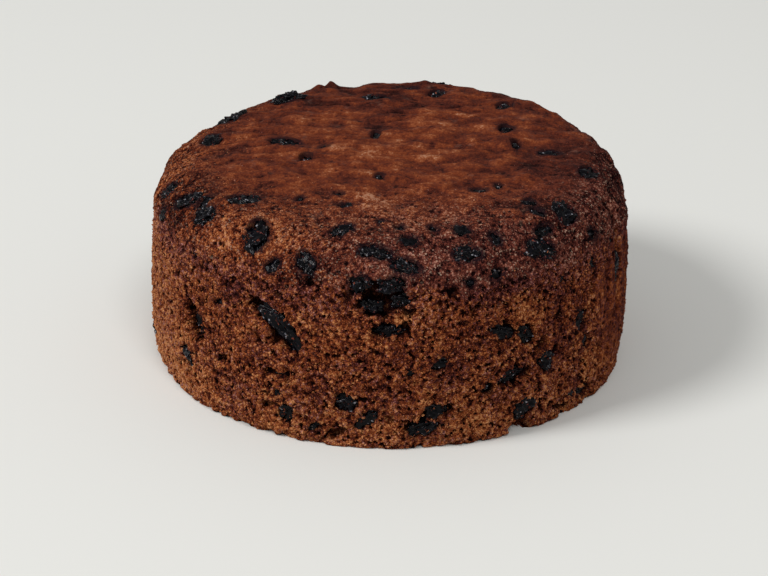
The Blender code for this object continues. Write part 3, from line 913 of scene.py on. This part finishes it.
def crumb_material():
    """Open orange-brown crumb at the side, grainy dark crust at the shoulder, smooth mottled crust on top."""
    made, tree, shader = new_material("crumb")
    crust = value_at(tree, "crust")
    shade = value_at(tree, "paler")
    hollow = value_at(tree, "pore")
    side = math_of(tree, "SUBTRACT", 1.0, crust)
    where = add(tree, "SeparateXYZ", {"Vector": place(tree)}).outputs
    top = step(tree, where["Z"], TOP_LOW, TOP_HIGH)
    front = step(tree, where["Y"], -0.35 * RADIUS, -0.80 * RADIUS)
    dusty = dusty_at(tree, where)

    fine, dome = grain_at(tree, 0.62 * MM)
    coarse, hill = grain_at(tree, 1.25 * MM)
    pore = math_of(tree, "MAXIMUM", pores_at(tree, 1.7 * MM, 0.35, 0.0), pores_at(tree, 0.95 * MM, 0.45, 0.17))
    # Painted shade: the grain's tone is darker where the relief lies deep, and so paler on the raised bits.
    raised = plus(tree, plus(tree, product(tree, fine, 0.65), coarse, 0.35), hollow, -0.55)
    clumps = noise_at(tree, CLUMP_PITCH, 3.0, 0.65)
    blotches = noise_at(tree, 13.0 * MM, 3.0, 0.6)
    mottles = noise_at(tree, 8.0 * MM, 2.0, 0.5)
    speck = random_of(tree, cells_at(tree, 0.50 * MM, place_off(tree, 0.43)), 2)
    sparkle = product(tree, step(tree, speck, 0.84, 0.93), step(tree, clumps, 0.40, 0.66))

    # Painted shade: the pores and the deep hollows of the relief are laid near black.
    torn = step(tree, hollow, 0.02, 0.60)
    dark = math_of(tree, "MAXIMUM", product(tree, pore, 0.80), product(tree, torn, 0.90))
    dark = product(tree, dark, plus(tree, 1.0, value_at(tree, "pressed"), -0.45))
    side_colour = blend(tree, dark, crumb_colour(tree, raised, 1.05), SIDE_PORE_SHADE)

    rim_tone = weighted(tree, 0.49, (blotches, 0.7), (clumps, 0.85), (raised, 1.10))
    rim_colour = rim_colour_of(tree, math_of(tree, "ADD", shade, rim_tone), dusty)
    rim_colour = blend(tree, product(tree, sparkle, spread(tree, dusty, 0.40, 0.66)), rim_colour, RIM_GLINT)
    # Painted shade in the rim's pores.
    rim_colour = blend(tree, product(tree, pore, 0.85), rim_colour, RIM_PORE_SHADE)

    across = add(tree, "CombineXYZ", {"X": where["X"], "Y": where["Y"]}).outputs[0]
    middle = add(tree, "VectorMath", {0: across, 1: (0.0, 0.03 * RADIUS, 0.0)}, operation="DISTANCE")
    warm = weighted(tree, middle.outputs["Value"], (blotches, 0.9 * RADIUS))
    warm = step(tree, warm, 0.95 * RADIUS, 0.10 * RADIUS)
    top_tone = weighted(tree, 0.45, (blotches, 1.1), (mottles, 0.85), (clumps, 0.30), (raised, 0.40))
    top_tone = math_of(tree, "ADD", shade, plus(tree, top_tone, warm, 0.20))
    grit = product(tree, front, math_of(tree, "SUBTRACT", raised, 0.5))
    top_colour = ramp(tree, plus(tree, top_tone, grit, 0.70), *TOP_COLOURS)
    # Painted sheen in soft pale patches on the top.
    sheen_patches = noise_at(tree, 7.0 * MM, 4.0, 0.65, place_off(tree, 0.77))
    top_colour = blend(tree, product(tree, step(tree, sheen_patches, 0.58, 0.80), 0.35), top_colour, PAINTED_SHEEN_COLOUR)
    top_colour = blend(tree, product(tree, sparkle, front, 0.70), top_colour, TOP_GLINT)
    # Painted shade in the pores at the front of the top.
    top_colour = blend(tree, product(tree, pore, front, 0.6), top_colour, TOP_PORE_SHADE)

    baked = step(tree, weighted(tree, crust, (clumps, 1.1), (fine, 0.35)), 0.25, 0.75)
    baked = product(tree, baked, step(tree, shade, 0.30, 0.18))
    colour = blend(tree, baked, side_colour, blend(tree, top, rim_colour, top_colour))
    smudge = step(tree, weighted(tree, value_at(tree, "stain"), (clumps, 0.9)), 0.25, 0.85)
    smudge = product(tree, smudge, 0.85, spread(tree, crust, 0.35, 0.95))
    colour = blend(tree, smudge, colour, SMUDGE_COLOUR)
    # Painted shade where the surface lies deep in a hole.
    sunk = step(tree, value_at(tree, "depth"), 0.9, 2.8)
    colour = blend(tree, product(tree, sunk, 0.82), colour, HOLE_SHADE_COLOUR)

    smooth = spread(tree, clumps, 0.45, 0.70)
    difference = math_of(tree, "SUBTRACT", spread(tree, fine, 0.70, 0.95), smooth)
    roughness = math_of(tree, "MULTIPLY_ADD", math_of(tree, "SUBTRACT", 1.0, top), difference, smooth)

    height = plus(tree, plus(tree, product(tree, hill, 0.55), dome, 0.30), pore, -0.9)
    grainy = plus(tree, plus(tree, 0.65, side, 0.35), top, -0.60)
    normal = bump(tree, product(tree, height, grainy), 0.60 * MM)
    normal = bump(tree, mottles, 1.2 * MM, normal)
    dress(shader, tree, colour, roughness, normal, 0.02)
    return made


def grain_bump(tree):
    return bump(tree, noise_at(tree, 0.3 * MM), 0.06 * MM)


def side_grain_material():
    """Loose lumps of crumb, each with its own tone over the patches of the crumb under it."""
    made, tree, shader = new_material("crumb_grain")
    own = value_at(tree, "tone")
    colour = crumb_colour(tree, math_of(tree, "ADD", own, 0.08), 0.66)
    dress(shader, tree, colour, spread(tree, own, 0.6, 0.9), grain_bump(tree), 0.08)
    return made


def crust_grain_material():
    """Loose grains on the crust, most as dark as it is and a few pale, which are painted glints."""
    made, tree, shader = new_material("crust_grain")
    own = value_at(tree, "tone")
    clumps = noise_at(tree, CLUMP_PITCH, 3.0, 0.65)
    tone = weighted(tree, 0.46, (clumps, 0.9), (own, 0.72))
    # Painted glints: the few grains whose own tone is highest are made pale.
    tone = math_of(tree, "ADD", value_at(tree, "paler"), plus(tree, tone, step(tree, own, 0.90, 0.97), 0.35))
    where = add(tree, "SeparateXYZ", {"Vector": place(tree)}).outputs
    colour = rim_colour_of(tree, tone, dusty_at(tree, where))
    dress(shader, tree, colour, spread(tree, own, 0.35, 0.6), grain_bump(tree), 0.15)
    return made


def fruit_material():
    """Dried fruit: nearly black in its folds, with painted shade there, and bluish on their ridges, partly its own
    bloom and partly a painted highlight, with painted glints and clinging pale specks.
    """
    made, tree, shader = new_material("raisin")
    fold = value_at(tree, "fold")
    lumps = noise_at(tree, 3.0 * MM, 3.0)
    fine = noise_at(tree, 0.75 * MM, 3.0, 0.65)
    ridge = math_of(tree, "SUBTRACT", weighted(tree, 0.70, (lumps, 0.6), (fine, 1.0)), fold)
    specks = random_of(tree, cells_at(tree, 0.5 * MM), 0)
    crumbs = product(tree, step(tree, specks, 0.86, 0.94), step(tree, ridge, 0.45, 0.75), 0.55)
    colour = blend(tree, crumbs, ramp(tree, ridge, *SKIN_COLOURS), DUST_COLOUR)
    # Painted glints: small bright specks on the ridges.
    found = cells_at(tree, 0.95 * MM, place_off(tree, 0.23))
    fruit_glints = product(tree, step(tree, random_of(tree, found, 1), 0.76, 0.82),
                  step(tree, found.outputs["Distance"], 0.48, 0.24), step(tree, ridge, 0.35, 0.65), 0.80)
    colour = blend(tree, fruit_glints, colour, FRUIT_GLINT_COLOUR)
    dress(shader, tree, colour, spread(tree, ridge, 0.24, 0.12), bump(tree, fine, 0.12 * MM), 0.11)
    return made


def floor_material():
    made, _, shader = new_material("floor")
    shader.inputs["Base Color"].default_value = (0.80, 0.80, 0.765, 1.0)
    shader.inputs["Roughness"].default_value = 0.6
    shader.inputs["Specular IOR Level"].default_value = 0.1
    return made


# ---------- the studio

TARGET = Vector((-0.0022, 0.0, 0.0201))
DISTANCE = 0.695
ELEVATION = math.radians(25.1)
ROLL = math.radians(0.57)
LENS = 84.375
SENSOR = 36.0
FLOOR_HALF = 4.0
SKY_STRENGTH = 0.38
LIGHT_SIZE = 1.5
LIGHT_DISTANCE = 4.5
LIGHTS = (("key", -68.0, 42.0, 124.0), ("fill", 20.0, 55.0, 48.0))  # azimuth, elevation, watts


def add_camera():
    data = bpy.data.cameras.new("camera")
    data.lens = LENS
    data.sensor_width = SENSOR
    data.clip_start = 0.05
    camera = new_object("camera", data)
    back = Vector((0.0, -math.cos(ELEVATION), math.sin(ELEVATION)))
    right = Vector((1.0, 0.0, 0.0))
    up = back.cross(right)
    turned_right = right * math.cos(ROLL) + up * math.sin(ROLL)
    turned_up = up * math.cos(ROLL) - right * math.sin(ROLL)
    axes = Matrix((turned_right, turned_up, back)).transposed().to_4x4()
    camera.matrix_world = Matrix.Translation(TARGET + back * DISTANCE) @ axes
    bpy.context.scene.camera = camera


def add_area_light(name, azimuth, elevation, power):
    data = bpy.data.lights.new(name, "AREA")
    data.shape = "DISK"
    data.size = LIGHT_SIZE
    data.energy = power
    light = new_object(name, data)
    angle, rise = math.radians(azimuth), math.radians(elevation)
    way = Vector((math.sin(angle) * math.cos(rise), -math.cos(angle) * math.cos(rise), math.sin(rise)))
    light.location = way * LIGHT_DISTANCE
    light.rotation_euler = way.to_track_quat("Z", "Y").to_euler()


def add_studio():
    shape = bmesh.new()
    bmesh.ops.create_grid(shape, x_segments=1, y_segments=1, size=FLOOR_HALF)
    mesh = finished(shape, "floor")
    mesh.materials.append(floor_material())
    new_object("floor", mesh)
    world = bpy.data.worlds.new("studio")
    world.use_nodes = True
    sky = world.node_tree.nodes["Background"]
    sky.inputs["Color"].default_value = (1.0, 1.0, 1.0, 1.0)
    sky.inputs["Strength"].default_value = SKY_STRENGTH
    bpy.context.scene.world = world
    for light in LIGHTS:
        add_area_light(*light)
    bpy.context.scene.view_settings.view_transform = "Standard"


# ---------- the whole

def depth_of(spot, surface_tree):
    """How far under the even surface a fruit's outer face lies, in mm."""
    face = Vector(spot.middle + spot.axes[2] * spot.half[2])
    near, normal = surface_tree.find_nearest(face)[:2]
    return (near - face).dot(normal) / MM


def values_of(mesh, name):
    found = np.empty(len(mesh.vertices), np.float32)
    mesh.attributes[name].data.foreach_get("value", found)
    return found.astype(float)


def add_clinging_crumbs(fruits):
    """A few crumbs left on each fruit's outer face."""
    generator = np.random.default_rng(5)
    places = []
    for piece, spot in fruits:
        outwards = spot.local(mesh_points(piece.data))[:, 2] / spot.half[2]
        count = 5 + int(spot.half[0] * spot.half[1] / MM ** 2)
        places.append(scattered(piece, count, smoothstep(0.0, 0.5, outwards) + 1.0e-6, generator))
    where = np.concatenate([place[0] for place in places])
    out = np.concatenate([place[1] for place in places])
    sizes = generator.uniform(0.30, 1.10, len(where)) ** 1.5 * MM
    mesh = grain_mesh("clinging_crumbs", where, out, sizes, generator, CLINGING_SHADE)
    crumbs = new_object("clinging_crumbs", mesh)
    crumbs.data.materials.append(side_grain_material())
    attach(crumbs, "root")


def add_grains(body):
    generator = np.random.default_rng(7)
    points = mesh_points(body.data)
    crust = values_of(body.data, "crust")
    shallow = 1.0 - smoothstep(0.9, 1.6, values_of(body.data, "depth"))
    aloft = smoothstep(0.4 * MM, 1.2 * MM, points[:, 2])
    shallow *= 1.0 - smoothstep(0.0, 0.5, values_of(body.data, "pore"))
    side = (1.0 - crust) * shallow * aloft * (1.0 - 0.65 * side_share(points, PRESSED))
    rim = crust * (1.0 - smoothstep(0.92 * HEIGHT, 0.98 * HEIGHT, points[:, 2])) * shallow
    crumb = side_grain_material()
    kinds = (
        ("crumb_coarse", 20000, side, 0.60, 1.15, crumb),
        ("crumb_fine", 22000, side + 0.10 * rim, 0.34, 0.62, crumb),
        ("crust_grains", 15000, rim, 0.24, 0.50, crust_grain_material()),
    )
    for name, count, wanted, least, most, material in kinds:
        count = count
        where, out = scattered(body, count, wanted, generator)
        sizes = generator.uniform(least, most, count) * MM
        piece = new_object(name, grain_mesh(name, where, out, sizes, generator))
        piece.data.materials.append(material)
        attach(piece, "root")


def main():
    surface = even_surface()
    surface_tree = BVHTree.FromPolygons(
        [v.co for v in surface.vertices], [p.vertices[:] for p in surface.polygons]
    )
    crumb = crumb_material()
    fruit = fruit_material()

    raisins = {name: spot_of_node(name) for name in sorted(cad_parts) if name != "cake"}
    small = small_spots(surface_tree)
    held = [(spot, depth_of(spot, surface_tree)) for spot in [*raisins.values(), *small]]
    holes = [(spot_at_side(surface_tree, *row[:5], 0.0), row[5]) for row in [*CAVITIES, *pits()]]

    body = crumb_body(held, holes, surface.copy())
    mark_body(body, surface_tree, held)
    body.data.materials.clear()
    body.data.materials.append(crumb)
    body.data.shade_smooth()
    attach(body, "root")
    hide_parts("cake")

    fruits = []
    for seed, (name, spot) in enumerate(raisins.items()):
        deep = np.array(depth_of(spot, surface_tree))
        spot = settled(spot, SETTLING * float(smoothstep(-0.6, 0.4, deep)))
        spot = plumped(spot, PROUD_PLUMPING * float(smoothstep(-0.7, -1.4, deep)))
        piece = new_object(name + "_fruit", fruit_mesh(name + "_fruit", [(seed, spot)], *RAISIN_MESH))
        piece.data.materials.append(fruit)
        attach(piece, "root")
        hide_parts(name)
        fruits.append((piece, spot))
    small = [settled(spot, 0.5 * SETTLING) for spot in small]
    bits = new_object("small_fruit", fruit_mesh("small_fruit", list(enumerate(small, 100)), *BIT_MESH))
    bits.data.materials.append(fruit)
    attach(bits, "root")

    add_clinging_crumbs(fruits)
    add_grains(body)
    add_studio()
    add_camera()


main()
